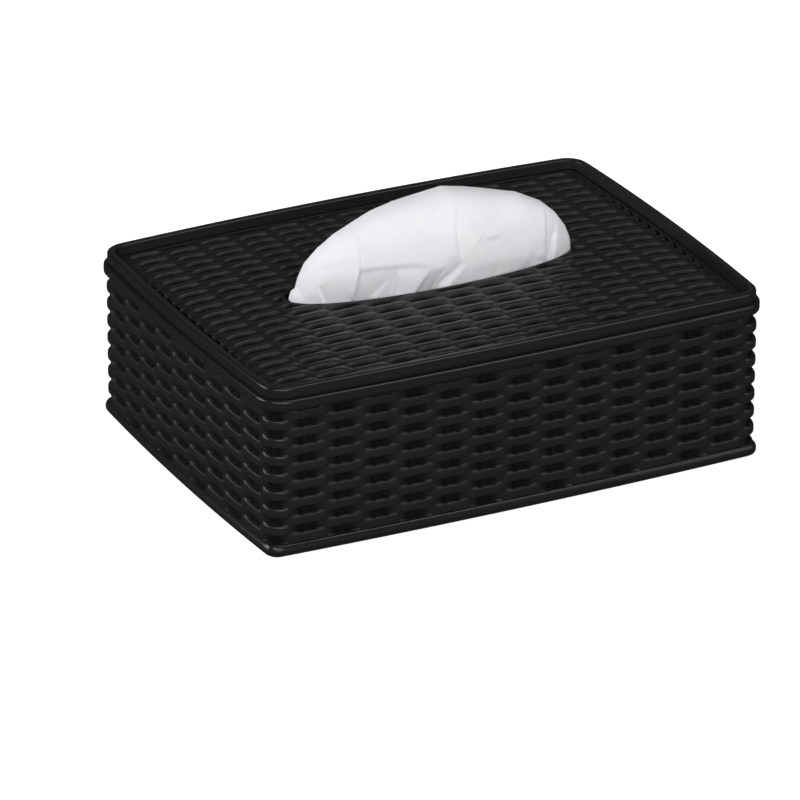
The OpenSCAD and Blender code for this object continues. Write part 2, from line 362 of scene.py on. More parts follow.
def strand_tree():
    """The height of strand number Index at a place, in millimetres: a wave along the
    strand, which stands proud over odd or even stakes, less its rounded section."""
    inputs = [(name, "Float") for name in ("Stake", "Row", "Index") + STRAND_INPUTS]
    tree, take = new_tree("one_strand", inputs, ("Height", "Float"))
    maths = sums(tree)
    phase = maths("MULTIPLY", maths("ADD", maths("ADD", take["Stake"], take["Index"]), 1), PI)
    swing = maths("COSINE", phase)
    wide = maths("MULTIPLY_ADD", maths("SUBTRACT", 1, maths("ABSOLUTE", swing)), take["Spread"],
                 take["Half Width"])
    off = maths("ABSOLUTE", maths("SUBTRACT", take["Row"], take["Index"]))
    across = maths("DIVIDE", off, wide)
    filled = maths("SUBTRACT", 1, maths("POWER", maths("MINIMUM", across, 1), take["Squareness"]))
    section = maths("POWER", filled, maths("DIVIDE", 1, take["Squareness"]))
    beyond = maths("MAXIMUM", maths("SUBTRACT", across, 1), 0)
    sunk = maths("POWER", maths("MULTIPLY_ADD", swing, -0.5, 0.5), take["Plunge"])
    reach = maths("MULTIPLY", sunk, maths("ADD", take["Rise"], take["Dip"]))
    wave = maths("SUBTRACT", take["Rise"], reach)
    drop = maths("MULTIPLY", maths("SUBTRACT", section, 1), take["Crown"])
    height = maths("SUBTRACT", maths("ADD", wave, drop), maths("MULTIPLY", beyond, FLANK))
    add(tree, "NodeGroupOutput", [height])
    return tree


strand_nodes = strand_tree()
print("strand nodes:", len(strand_nodes.nodes))

# %% The woven surface


def weave_tree(strand):
    """Moves each point outward by the height of whatever is uppermost there."""
    inputs = [("Geometry", "Geometry"), *((name, "Float") for name in WEAVE),
              ("Material", "Material")]
    tree, take = new_tree("woven_relief", inputs)
    for socket in tree.interface.items_tree:
        if socket.name in WEAVE:
            socket.default_value = WEAVE[socket.name]
    maths = sums(tree)

    def field(name, kind="FLOAT"):
        return add(tree, "GeometryNodeInputNamedAttribute", {"Name": name}, data_type=kind)

    def one_strand(index):
        values = {name: take[name] for name in STRAND_INPUTS}
        values.update({"Stake": stake, "Row": row, "Index": index})
        return add(tree, "GeometryNodeGroup", values, node_tree=strand)

    stake, row, weight = field("stake"), field("row"), field("weave")
    below = maths("FLOOR", row)
    strands = maths("SMOOTH_MAX", one_strand(below), one_strand(maths("ADD", below, 1)),
                    take["Blend"])
    nearest = maths("DIVIDE", maths("ABSOLUTE", maths("SUBTRACT", stake, maths("ROUND", stake))),
                    take["Stake Half Width"])
    bar = maths("SQRT", maths("SUBTRACT", 1, maths("POWER", maths("MINIMUM", nearest, 1), 2)))
    bar = maths("MULTIPLY", maths("SUBTRACT", bar, 1), take["Stake Crown"])
    bar = maths("SUBTRACT", maths("ADD", bar, take["Stake Level"]),
                maths("MULTIPLY", maths("MAXIMUM", maths("SUBTRACT", nearest, 1), 0), FLANK))
    proud = maths("SMOOTH_MAX", strands, bar, take["Blend"])
    relief = maths("MULTIPLY", proud, weight)
    offset = add(tree, "ShaderNodeVectorMath",
                 {0: field("outward", "FLOAT_VECTOR"), "Scale": maths("MULTIPLY", relief, MM)},
                 operation="SCALE")
    moved = add(tree, "GeometryNodeSetPosition",
                {"Geometry": take["Geometry"], "Offset": offset.outputs[0]})
    noted = add(tree, "GeometryNodeStoreNamedAttribute",
                {"Geometry": moved, "Name": "relief", "Value": relief},
                data_type="FLOAT", domain="POINT")
    finish_tree(tree, noted, take["Material"])
    return tree


woven_relief = weave_tree(strand_nodes)


def applied(piece, tree, **inputs):
    """Runs a node tree on a piece, with its inputs by name, and keeps the plain mesh."""
    modifier = piece.modifiers.new(tree.name, "NODES")
    modifier.node_group = tree
    for socket in tree.interface.items_tree:
        name = socket.name.replace(" ", "_")
        if socket.in_out == "INPUT" and name in inputs:
            modifier[socket.identifier] = inputs[name]
    seen = piece.evaluated_get(bpy.context.evaluated_depsgraph_get())
    old, made = piece.data, bpy.data.meshes.new_from_object(seen)
    piece.modifiers.remove(modifier)
    piece.data = made
    made.name = piece.name
    bpy.data.meshes.remove(old)
    made.set_sharp_from_angle(angle=SHARP)
    return piece


def polish_and_highlight(piece, low, high):
    """Polishes an edge: its points, between two heights, count as worn, so they are glossier and
    painted the lightest colour, a painted highlight. Gives their number.
    """
    points = np.zeros(3 * len(piece.data.vertices))
    piece.data.vertices.foreach_get("co", points)
    relief = piece.data.attributes["relief"].data
    values = np.zeros(len(relief))
    relief.foreach_get("value", values)
    height = points[2::3] / MM
    worn = (height > low) & (height < high)
    values[worn] = POLISHED
    relief.foreach_set("value", values)
    return int(worn.sum())


print("weave nodes:", len(woven_relief.nodes))

# %% [markdown]
# ## The box
# One moulding: a foot rim, woven walls, a rounded bead round the top edge, plain inner
# walls and a floor. Its profile is swept round the outline as rings, from the underside,
# up the outside, over the top edge and down to the floor inside. Rings in the woven
# stretch carry their row number, and columns their stake number.

# %% The box's body
FOOT_H, FOOT_R = 6.3, 6.4  # corner radii are those at the foot rim's edge
BEAD_H, BEAD_R = 5.6, 10.8
WEAVE_IN, WEAVE_R = 1.4, 8.9
INSIDE_IN, INSIDE_R, FLOOR_T = 4.25, 7.25, 2.2
UNDERSIDE_IN, TOP_IN, FLOOR_IN = 9, 2.4, 12  # rings that only divide a flat face
BEAD_WORN = BODY_TOP - 1.35, BODY_TOP - 0.05  # heights between which an edge is polished and painted lighter, a painted highlight
FOOT_WORN = FOOT_H - 2.2, FOOT_H - 0.3
ROW_COUNT, ROW_PITCH, ROW_TOP = 15, 4.287, 70.6
# where the mesh has its lines, within the gap between two stakes and within a row
STAKE_PARTS = (0, 0.06, 0.105, 0.135, 0.2, 0.32, 0.44, 0.56, 0.68, 0.8, 0.865, 0.895, 0.94)
ROW_PARTS = (-0.5, -0.43, -0.39, -0.22, 0, 0.22, 0.39, 0.43)


def row_lines(stake, first, last):
    """Row numbers of the mesh's level lines at each station. They draw together between
    the stakes, as the gaps between the strands do."""
    near = 1 - SQUEEZE * (1 - np.abs(np.cos(PI * stake)))
    return [row + part * np.where(part == -0.5, 1, near)
            for row in range(first, last + 1) for part in ROW_PARTS]


def box_body():
    where = stations(STAKE_PARTS)
    foot = rounded([(UNDERSIDE_IN, 0, 0), (0, 0, 2.6), (0, FOOT_H, 3), (3, FOOT_H, 0)])[:-1]
    bead_foot = BODY_TOP - BEAD_H
    bead = rounded([(1.6, bead_foot, 0), (-BEAD_OUT, bead_foot, 1.5), (-BEAD_OUT, BODY_TOP, 1.3),
                    (TOP_IN, BODY_TOP, 0)])
    inside = rounded([(TOP_IN, BODY_TOP, 0), (INSIDE_IN, BODY_TOP, 0.5),
                      (INSIDE_IN, FLOOR_T, 2), (FLOOR_IN, FLOOR_T, 0)])[1:]
    top_v = (ROW_TOP - bead_foot) / ROW_PITCH + 0.5
    foot_v = (ROW_TOP - FOOT_H) / ROW_PITCH + 0.5
    stake = where[2]
    lines = row_lines(stake, 1, ROW_COUNT)[1:] + [np.full_like(stake, ROW_COUNT + 0.5)]
    rows = [np.full_like(stake, foot_v)] + lines[::-1] + [np.full_like(stake, top_v)]
    rings = [level(where, x, z, FOOT_R) for x, z in foot]
    first = len(rings)
    rings += [level(where, WEAVE_IN, ROW_TOP - (v - 0.5) * ROW_PITCH, WEAVE_R) for v in rows]
    after = len(rings)
    rings += [level(where, x, z, BEAD_R) for x, z in bead]
    rings += [level(where, x, z, INSIDE_R) for x, z in inside]
    made = ring_mesh("box_body", rings)
    n, count = len(where[0]), len(rings)
    _, outward = outline(where, WEAVE_IN, WEAVE_R - WEAVE_IN)
    weight, row = np.zeros((count, n)), np.zeros((count, n))
    weight[first:after], row[first:after] = 1, np.array(rows)
    give(made, "stake", np.tile(stake, count))
    give(made, "row", row)
    give(made, "weave", weight)
    give(made, "outward", np.tile(np.column_stack([outward, np.zeros(n)]), (count, 1)),
         "FLOAT_VECTOR")
    return applied(show(made), woven_relief, Material=plastic)


body = box_body()
print("polished points:", polish_and_highlight(body, *BEAD_WORN), "and", polish_and_highlight(body, *FOOT_WORN))
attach(body, "box")
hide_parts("body")
tell(body)

# %% [markdown]
# ## The lid's frame
# The second moulding is a lid with a raised rim, a plain ledge inside the rim, a slot with
# a rolled lip, and a skirt below that finds its place inside the box. It isn't flat: the
# rim arches up by less than a millimetre, and the panel swells a little more. Its section
# is one closed loop: up and over the rim, across to the slot, down through it, and back
# along the underside to the skirt. The rings round the slot have the same stations as
# those round the rim, so the loop is one closed mesh with a hole through it.

# %% The lid's crown and the slot's outline
SLOT_L, SLOT_W = 145.4, 43.6  # the slot is an ellipse
RIM_CROWN_LONG, RIM_CROWN_SHORT = 0.8, 0.1  # how far the rim's sides arch up in the middle
PANEL_CROWN = 3.3  # and how far the panel swells above the rim's arch
PANEL_X, PANEL_Y = 119, 84.5  # half the length and width of the part that swells
PANEL_BULGE = 2.6  # above 2, the swell is broad and its ends are steep


def crown(x, y):
    """How far the lid has risen above a flat one: its rim a little, its panel more."""
    u, v = np.minimum(np.abs(x / FOOT_X), 1), np.minimum(np.abs(y / FOOT_Y), 1)
    rim = RIM_CROWN_LONG * (1 - u ** 2) + RIM_CROWN_SHORT * (1 - v ** 2)
    u, v = np.minimum(u * FOOT_X / PANEL_X, 1), np.minimum(v * FOOT_Y / PANEL_Y, 1)
    return rim + PANEL_CROWN * (1 - u ** 2) * (1 - v ** PANEL_BULGE)


def slot_ring(where, grow, z):
    """One ring round the slot, with the stations of the rim that lie outward of it."""
    side, along, _ = where
    turn = (side - 1 + along / 2) * PI / 2
    far, wide = SLOT_L / 2 + grow, SLOT_W / 2 + grow
    x, y = far * np.cos(turn), wide * np.sin(turn)
    return np.column_stack([x, y, z + crown(x, y)])


print("the lid's middle is raised by", round(float(crown(0, 0)), 1), "mm")

# %% The lid's frame
LEDGE = LID_TOP - 4
LID_R = 10.8
LID_IN, RIM_IN, RIM_FOOT_IN, LEDGE_IN = 0.3, 3.9, 5.3, 8.1  # insets, from the outside in
SKIRT_FOOT, SKIRT_OUTER, SKIRT_INNER = BODY_TOP - 7, 4.75, 6.55
PANEL_FOOT = LEDGE - 2.2
LIP_W, LIP_TOP, LIP_FOOT = 1.5, LEDGE + 0.3, PANEL_FOOT - 1.6
UNDER_WEAVE = LEDGE - 2.9  # the frame's top face runs on, hidden, below the weave
LID_PARTS = (0, 0.2, 0.4, 0.6, 0.8)
INNER_WALL = 4.1, 5.9  # insets of the rim's inner wall, which is given painted shade
EDGE_WORN = 1.3  # how far down from the rim's top its edges are polished and painted lighter
RIM_PLAIN = 1.5, 3  # insets between which the rim's top isn't polished


def rim_gloss_and_shade(inset, z):
    """The relief that a ring of the rim counts as. The inner wall counts as a hollow, which paints
    shade on it; the top edges count as polished.
    """
    # Painted shade: the inner wall takes the dark colour and matt shader of the hollows.
    if INNER_WALL[0] < inset < INNER_WALL[1]:
        return HOLLOW
    plain = z <= LID_TOP - EDGE_WORN or RIM_PLAIN[0] <= inset <= RIM_PLAIN[1]
    return 0 if plain else POLISHED


def lid_frame():
    where = stations(LID_PARTS)
    rim = rounded([(1.3, BODY_TOP, 0), (LID_IN, BODY_TOP, 0.6), (LID_IN, LID_TOP, 1.2),
                   (RIM_IN, LID_TOP, 0.9), (RIM_FOOT_IN, LEDGE, 0.7), (LEDGE_IN, LEDGE, 0.3),
                   (LEDGE_IN + 0.2, UNDER_WEAVE, 0)])
    lip = rounded([(LIP_W, UNDER_WEAVE, 0), (LIP_W, LIP_TOP, 0.7), (0, LIP_TOP, 0.7),
                   (0, LIP_FOOT, 0.4), (LIP_W, LIP_FOOT, 0.4), (LIP_W, PANEL_FOOT, 0)])
    skirt = rounded([(SKIRT_INNER, PANEL_FOOT, 0), (SKIRT_INNER, SKIRT_FOOT, 0.4),
                     (SKIRT_OUTER, SKIRT_FOOT, 0.4), (SKIRT_OUTER, BODY_TOP, 0)])
    rings = [level(where, x, z, LID_R) for x, z in rim]
    for ring in rings:
        share = np.clip((ring[:, 2] - BODY_TOP) / (LEDGE - BODY_TOP), 0, 1)
        ring[:, 2] += crown(*ring[:, :2].T) * share
    rings += [slot_ring(where, grow, z) for grow, z in lip]
    rings += [level(where, x, z, INSIDE_R) for x, z in skirt]
    made = ring_mesh("lid_frame", rings, closed=True)
    gloss_and_shade = [rim_gloss_and_shade(x, z) for x, z in rim] + [0] * (len(lip) + len(skirt))
    give(made, "relief", np.repeat(gloss_and_shade, len(rings[0])))
    return show(made, plastic)


frame_piece = lid_frame()
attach(frame_piece, "lid")
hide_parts("lid")
tell(frame_piece)

# %% [markdown]
# ## The lid's weave
# On the lid the strands run the long way, in one sheet that fills the frame, swells with
# it and stops at the slot. A grid is laid over the whole lid with its columns in step with
# the stakes. Squares that lie wholly outside the ledge or in the slot are left out, and
# the points of the last squares are pulled in to the border. The relief fades out under
# the edge of the ledge, and runs into the slot's lip, so no strand ends in the air.

# %% The lid's weave
LID_PITCH = 2 * (FOOT_X - WEAVE_IN) / STAKES[0]
LID_ROWS, LID_ROW = 40, 4.245
MIDDLE_ROW = (LID_ROWS + 3) / 2  # the row number on the lid's middle line
COLUMNS_END = 6.72  # how many stakes from the middle the columns reach
LID_MIDDLE = LEDGE - 0.5  # mean height of the strands
TUCK = 0.7  # how far the weave runs in under ledge and lip
FADE, LIFT = 1.6, 0.2  # width of the fade at the border, and its rise
LID_NARROW, LID_WIDE = 0.47, 0.68  # half the strands' width over the stakes and between
LID_WEAVE = {"Stake_Level": -3.0,  # on the lid the stakes lie too deep to be seen
             "Dip": 1.9, "Plunge": 2.4, "Squareness": 3.2,
             "Half_Width": LID_NARROW, "Spread": LID_WIDE - LID_NARROW}


def slot_distance(x, y, grow):
    """Distance outward from the slot's outline, and the way that leads straight out."""
    far, wide = SLOT_L / 2 + grow, SLOT_W / 2 + grow
    ring = np.hypot(x / far, y / wide)
    steep = np.stack([x / far ** 2, y / wide ** 2], -1) / np.maximum(ring, 1e-6)[..., None]
    size = np.maximum(np.linalg.norm(steep, axis=-1), 1e-6)
    return (ring - 1) / size, steep / size[..., None]


def grid_faces(count, n):
    """The four corners of every square of a grid of points, count rows of n."""
    index = np.arange(count * n).reshape(count, n)
    return np.stack([index[:-1, :-1], index[:-1, 1:], index[1:, 1:], index[1:, :-1]], -1)


def lid_weave():
    half = STAKES[0] // 2
    across = np.array([k + part for k in range(-half, half) for part in STAKE_PARTS
                       if abs(k + part) < COLUMNS_END])
    up = np.array(row_lines(across, 1, LID_ROWS + 2))
    across = np.broadcast_to(across, up.shape)
    x, y = across * LID_PITCH, (up - MIDDLE_ROW) * LID_ROW
    inset = LEDGE_IN - TUCK
    reach_y = FOOT_Y - inset + BOW_LONG * (1 - (x / FOOT_X) ** 2)
    reach_x = FOOT_X - inset + BOW_SHORT * (1 - (y / FOOT_Y) ** 2)
    gap, out = slot_distance(x, y, LIP_W - TUCK)
    inside = (np.abs(x) < reach_x) & (np.abs(y) < reach_y) & (gap > 0)
    x, y = np.clip(x, -reach_x, reach_x), np.clip(y, -reach_y, reach_y)
    push = np.maximum(-gap, 0)
    x, y = x + out[..., 0] * push, y + out[..., 1] * push
    border = np.minimum(reach_x - np.abs(x), reach_y - np.abs(y))
    weight = np.clip(border / FADE, 0, 1)
    z = LID_MIDDLE + crown(x, y) + LIFT * (1 - weight) ** 2
    quads = grid_faces(*x.shape)
    quads = quads[inside.ravel()[quads].any(-1)]
    made = bpy.data.meshes.new("lid_weave")
    made.from_pydata((np.stack([x, y, z], -1).reshape(-1, 3) * MM).tolist(), [], quads.tolist())
    give(made, "stake", x / LID_PITCH)
    give(made, "row", y / LID_ROW + MIDDLE_ROW)
    give(made, "weave", weight)
    give(made, "outward", np.tile([0, 0, 1], (x.size, 1)), "FLOAT_VECTOR")
    return applied(show(close_below(made)), woven_relief, Material=plastic, **LID_WEAVE)


def close_below(made):
    """Drops a wall from every border of a sheet and shuts it with an underside."""
    shape = bmesh.new()
    shape.from_mesh(made)
    loose = [v for v in shape.verts if not v.link_faces]
    bmesh.ops.delete(shape, geom=loose, context="VERTS")
    border = [e for e in shape.edges if e.is_boundary]
    walls = bmesh.ops.extrude_edge_only(shape, edges=border)["geom"]
    weave = shape.verts.layers.float["weave"]
    for vert in (item for item in walls if isinstance(item, bmesh.types.BMVert)):
        vert.co.z -= (LID_MIDDLE - UNDER_WEAVE) * MM
        vert[weave] = 0
    feet = [item for item in walls if isinstance(item, bmesh.types.BMEdge)]
    bmesh.ops.triangle_fill(shape, edges=feet, use_beauty=False, normal=(0, 0, -1))
    bmesh.ops.recalc_face_normals(shape, faces=shape.faces)
    shape.to_mesh(made)
    shape.free()
    return made


weave_piece = lid_weave()
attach(weave_piece, "lid")
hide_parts("lid")
tell(weave_piece)

# %% [markdown]
# ## Facial tissue
# Two plies of soft wet-laid pulp, creped off a drum, which leaves fine ridges across the
# sheet. It is matt and bright white, a little cool from optical brightener. The creping is
# a bump, drawn at 1 mm, about three times its real size, so that it shows at all.

# %% Tissue paper
CREPE_MM, PATCH_MM = 1.0, 14  # size of the creping, and of faint patches of tint


def tissue_paper():
    made, tree, output = new_material("tissue_paper_creped_white")
    place = add(tree, "ShaderNodeTexCoord").outputs["Object"]
    stretched = add(tree, "ShaderNodeMapping", {"Vector": place, "Scale": (0.25, 1, 1)})
    crepe, cloud = noise(tree, stretched, CREPE_MM, 2, 0.55), noise(tree, place, PATCH_MM, 2)
    tint = add(tree, "ShaderNodeValToRGB", [cloud])
    tint.color_ramp.elements[0].color = colour("#efeef6")
    tint.color_ramp.elements[1].color = colour("#fafafb")
    bump = add(tree, "ShaderNodeBump",
               {"Strength": 0.35, "Distance": 0.05 * MM, "Height": crepe.outputs["Fac"]})
    shader = add(tree, "ShaderNodeBsdfPrincipled",
                 {"Base Color": tint, "Roughness": 0.85, "Normal": bump,
                  "Specular IOR Level": 0.2, "Sheen Weight": 0.15, "Sheen Roughness": 0.5})
    tree.links.new(shader.outputs[0], output.inputs["Surface"])
    return made


paper = tissue_paper()
print("made", paper.name)

# %% [markdown]
# ## The stack, with Geometry Nodes
# The stack is some sixty sheets, each folded once, one on the other and never quite in
# line. A node tree puts a folded sheet on each point of an upright line, shifts and turns
# each a little with a fixed seed, and makes them real.

# %% One folded sheet
STACK_LOW, STACK_HIGH = (np.array(c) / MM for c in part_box("tissue_stack"))
SHEET_L, SHEET_W = 213, 100  # folded once, in millimetres
LAYER_GAP, LAYER_PLY = 0.55, 0.32  # between layers and of one, as shares of a sheet's room
SLACK = 1.2  # how much narrower a sheet is than the stack


def hairpin(width, gap, ply, fold_side, steps=6):
    """The section of a sheet folded once, as a closed outline in (y, z). gap is the height
    from the middle of one layer to the other, ply a layer's thickness."""
    def layer_line(radius):
        turn = np.linspace(-PI / 2, PI / 2, steps + 1)
        bend = np.column_stack([radius * np.cos(turn), radius * np.sin(turn)])
        ends = np.array([[gap - width, -radius], [gap - width, radius]])
        return np.concatenate([ends[:1], bend, ends[1:]])
    outer, inner = layer_line(gap / 2 + ply / 2), layer_line(gap / 2 - ply / 2)
    points = np.concatenate([outer, inner[::-1]])
    points[:, 0] += width / 2 - gap
    return points * [fold_side, 1]


def folded_sheet(name, length, section, drape=None, cuts=1):
    """A section in (y, z) drawn out along X into a closed mesh. drape(x, y) lifts it."""
    xs = np.linspace(-length / 2, length / 2, cuts + 1)
    rings = [np.column_stack([np.full(len(section), x), section]) for x in xs]
    if drape:
        rings = [ring + np.outer(drape(ring[:, 0], ring[:, 1]), [0, 0, 1]) for ring in rings]
    made = ring_mesh(name, rings)
    made.flip_normals()
    return made


print("stack, mm:", STACK_HIGH - STACK_LOW)


# %% The stack
def stack_tree():
    """Copies of one sheet up an upright line, each a little out of place."""
    inputs = [("Geometry", "Geometry"), ("Sheets", "Int"), ("First Height", "Float"),
              ("Spacing", "Float"), ("Slide", "Float"), ("Turn", "Float"), ("Seed", "Int"),
              ("Material", "Material")]
    tree, take = new_tree("sheet_stack", inputs)
    maths = sums(tree)

    def around_zero(amount, seed_shift):
        seed = maths("ADD", take["Seed"], seed_shift)
        low = maths("MULTIPLY", take[amount], -1)
        return add(tree, "FunctionNodeRandomValue", {"Min": low, "Max": take[amount], "Seed": seed},
                   data_type="FLOAT").outputs[1]

    rise = add(tree, "ShaderNodeCombineXYZ", {"Z": take["Spacing"]})
    start = add(tree, "ShaderNodeCombineXYZ", {"Z": take["First Height"]})
    line = add(tree, "GeometryNodeMeshLine",
               {"Count": take["Sheets"], "Start Location": start, "Offset": rise})
    slide = add(tree, "ShaderNodeCombineXYZ", [around_zero("Slide", 1), around_zero("Slide", 2)])
    moved = add(tree, "GeometryNodeSetPosition", {"Geometry": line, "Offset": slide})
    turn = add(tree, "ShaderNodeCombineXYZ", {"Z": around_zero("Turn", 3)})
    copies = add(tree, "GeometryNodeInstanceOnPoints",
                 {"Points": moved, "Instance": take["Geometry"], "Rotation": turn})
    finish_tree(tree, copies, take["Material"])
    return tree


def tissue_stack(sheets=62):
    """One sheet, copied up the stack. Slide and Turn are how far each may be out of line."""
    spacing = (STACK_HIGH[2] - STACK_LOW[2]) / sheets
    width = STACK_HIGH[1] - STACK_LOW[1] - SLACK
    section = hairpin(width, LAYER_GAP * spacing, LAYER_PLY * spacing, 1)
    one = folded_sheet("tissue_stack", SHEET_L - 1, section)
    return applied(show(one, paper), stack_tree(), Sheets=sheets, Spacing=spacing * MM,
                   First_Height=(STACK_LOW[2] + spacing / 2) * MM, Slide=0.45 * MM, Turn=0.0015,
                   Seed=4, Material=paper)


stack = tissue_stack()
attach(stack, "box")
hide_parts("tissue_stack")
tell(stack)

# %% [markdown]
# ## The next tissue
# The sheet on top of the stack, folded once along its front edge, with its upper layer
# lying loose. It is a real sheet of 213 by 200 mm, so its two layers are modelled.

# %% The next tissue
NEXT_LOW, NEXT_HIGH = (np.array(c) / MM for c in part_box("next_tissue"))
LONG_RUN, RUN_PARTS = 20, 25  # a longer run of the section is cut into so many parts


def next_tissue(ply=0.12, cuts=70):
    gap = (NEXT_HIGH[2] - NEXT_LOW[2]) / 2
    bends = hairpin(SHEET_W, gap, ply, -1, 8)
    runs = [np.linspace(a, b, RUN_PARTS + 1)[:-1] if abs(a[0] - b[0]) > LONG_RUN else [a]
            for a, b in zip(bends, np.roll(bends, -1, 0))]
    section = np.concatenate(runs)
    middle = (NEXT_LOW[2] + NEXT_HIGH[2]) / 2

    def drape(x, y):
        return 0.1 * np.sin(x / 23 + y / 31) + 0.06 * np.sin(x / 9 - y / 17)
    made = folded_sheet("next_tissue", SHEET_L, section + [0, middle], drape, cuts)
    return show(made, paper)


next_sheet = next_tissue()
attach(next_sheet, "box")
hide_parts("next_tissue")
tell(next_sheet)

# %% [markdown]
# ## The leading tissue
# One sheet is pulled up through the slot. It has puffed into a low dome that fills the
# slot's front, arches over and goes down behind. Below the lid the rest of it is still
# folded to and fro. Cloth simulation gives some dome of its own, never this one, so the
# sheet is drawn as a section for each place along the slot. Its creases are then laid on
# as lines, each with a height on either side, as a sculptor would press them in. Those of
# the front are the photograph's. Those of the rear are only likely ones.

# %% Where the tissue runs
# The crest of the dome, as (x, z) along the slot, with its kinks and the small ear at left.
CREST = ((-71.6, 81), (-71.2, 83), (-70.2, 84.8), (-68, 85.8), (-67.4, 88), (-66.3, 91),
         (-62.7, 97), (-56.6, 103.3), (-48.9, 108.3), (-39.2, 112.4), (-29, 116.2),
         (-18.2, 118.8), (-1, 121), (6, 121.7), (17, 119.6), (44, 112), (56.5, 105.4),
         (63.3, 99.3), (68.6, 92), (71, 86.5), (71.6, 81))
SLOT_GAP = 0.7  # between the tissue and the slot
REAR_SHARE = 0.45  # how much of the slot's rear half it fills
TISSUE_FOOT = 53.7  # where it leaves the next tissue
PLY = 0.14  # thickness of the sheet
LEAN = 0.07  # creases lie this share of the dome's depth up and left of where they are drawn


def slot_half(x, gap):
    """Half the slot's width at x, less a gap."""
    return (SLOT_W / 2 - gap) * np.sqrt(np.maximum(0, 1 - (x / (SLOT_L / 2 - gap)) ** 2))


print("dome:", max(z for _, z in CREST) - LID_TOP, "mm above the lid")

# %% Creases
# A crease is a path of (x, z), then the height and reach on its left and on its right. A
# facet is a flat patch: the width over which its border fades, then its corners clockwise,
# as (x, z, push). All are in millimetres, outward from the dome.
FRONT_CREASES = (
    (((-39.5, 113), (-41, 107), (-42, 99), (-42.6, 93.7), (-46, 81), (-47, 76)),
     (-1.0, 7), (0.9, 10)),
    (((-42.3, 96), (-42.8, 93), (-46, 81), (-47, 76)), (-1.6, 8), (0.6, 4)),
    (((-44, 94), (-33, 94.5), (-22, 93.5), (-6, 91.5)), (0.6, 7), (-0.7, 3)),
    (((-23.4, 92.6), (-26.2, 82), (-27.5, 76)), (0.8, 7), (-0.7, 4)),
    (((8, 116), (5.2, 107.7), (5.2, 99), (6, 92), (7.4, 88)), (-0.9, 7), (0.7, 6)),
    (((18, 100.6), (12.6, 95), (7.8, 88.7)), (0.5, 7), (0.6, 4)),
    (((9.5, 90.6), (7.8, 88.7), (-1.8, 80.5), (-6, 76)), (0.9, 8), (-2.0, 4)),
    (((9.6, 119.5), (13.8, 112.6), (19, 107), (17, 103), (16.2, 101)), (-0.5, 5), (-0.7, 3)),
    (((19.6, 98.9), (24, 98.6), (28.6, 97.8)), (0.45, 3), (-0.6, 4)),
    (((56, 107), (54.6, 96.5), (53, 82), (52.4, 76)), (-1.1, 4), (0.8, 9)),
    (((60.6, 93), (58.6, 89.6), (57.4, 81.5), (57, 77)), (1.1, 4), (-0.7, 3)),
    (((-61.2, 88), (-60.4, 86.5), (-58.8, 81.4), (-58, 78)), (-1.1, 3), (0.6, 4)),
    (((-62, 96), (-52, 98), (-44, 102)), (0.3, 5), (-0.3, 5)),
)
FRONT_FACETS = (
    (1.4, ((-42.8, 93.5, -0.4), (-23.4, 92.3, 0), (-27.6, 76, -2.6), (-47, 76, -3.6))),
    (1.4, ((-28, 88.5, 0.6), (-27.6, 76, 1.4), (-39.5, 76, 2))),
    (1.4, ((-8.2, 90, -0.3), (-0.6, 89.4, -0.3), (-8.5, 76, -4.4), (-18.5, 76, -4.4))),
    (1.2, ((1.2, 85.5, -0.6), (-5.5, 77.5, -2.6), (-7.5, 79.5, -2.2), (0, 87, -0.4))),
    (5, ((17, 99.4, 0.3), (30, 99, 0), (26, 76, -1), (-4, 76, -1.2))),
    (2, ((6.4, 108, -0.5), (20, 101.5, 0.6), (17.6, 99.6, 0.6), (7.2, 88.5, 0))),
    (5, ((19.6, 101, 0.7), (44, 109, 0.7), (57, 105, 0.5), (55, 87, -0.4), (30, 89, -0.4))),
    (6, ((22, 86, 0.2), (31, 91, 0.4), (40, 92, 0.4), (48, 88, 0), (45, 76, -1.6),
         (26, 76, -1.8))),
    (2, ((55.4, 105.5, -0.3), (62.5, 99.5, -0.2), (60, 90, -0.7), (57.4, 76, -2.2),
         (52.4, 76, -1.4))),
    (2, ((-2.4, 115.4, 0.3), (8.4, 113.8, 0.3), (7.2, 109, -0.3), (-2.6, 110.4, -0.3))),
)
REAR_CREASES = (
    (((-50, 108), (-46, 95), (-49, 74)), (0.9, 9), (-1.0, 6)),
    (((-24, 117), (-20, 100), (-27, 86), (-24, 74)), (-1.0, 6), (0.9, 10)),
    (((-2, 120), (6, 104), (3, 74)), (0.9, 10), (-0.9, 5)),
    (((6, 104), (22, 92), (30, 74)), (0.7, 7), (0.7, 5)),
    (((36, 114), (33, 98), (38, 84)), (-0.9, 7), (0.8, 8)),
    (((57, 104), (54, 90), (58, 74)), (0.8, 6), (-0.9, 5)),
    (((-40, 84), (-10, 90)), (0.5, 6), (-0.6, 7)),
)
REAR_FACETS = (
    (3, ((-44, 98, 0), (-25, 100, 0), (-26, 78, -1.6), (-46, 78, -1.4))),
    (5, ((6, 102, 0.4), (30, 96, 0.2), (36, 78, -1.2), (4, 78, -1.6))),
)
CREASE_EDGE = 0.7  # half the width of the step across a crease
TAPER = 0.3  # share of a crease's length over which each end fades
FAR = 1e9  # further than any crease or border
print("creases:", len(FRONT_CREASES), "in front,", len(REAR_CREASES), "behind")


def facet_push(x, z, fade, corners):
    """The push of one flat facet, and none outside its border."""
    corner = np.array(corners)
    flat = np.linalg.lstsq(np.column_stack([corner[:, :2], np.ones(len(corner))]),
                           corner[:, 2], rcond=None)[0]
    inside = np.full_like(x, FAR)
    for (ax, az, _), (bx, bz, _) in zip(corner, np.roll(corner, -1, 0)):
        length = math.hypot(bx - ax, bz - az)
        inside = np.minimum(inside, ((bz - az) * (x - ax) - (bx - ax) * (z - az)) / length)
    blend = np.clip(inside / fade + 0.5, 0, 1)
    return (flat[0] * x + flat[1] * z + flat[2]) * blend ** 2 * (3 - 2 * blend)


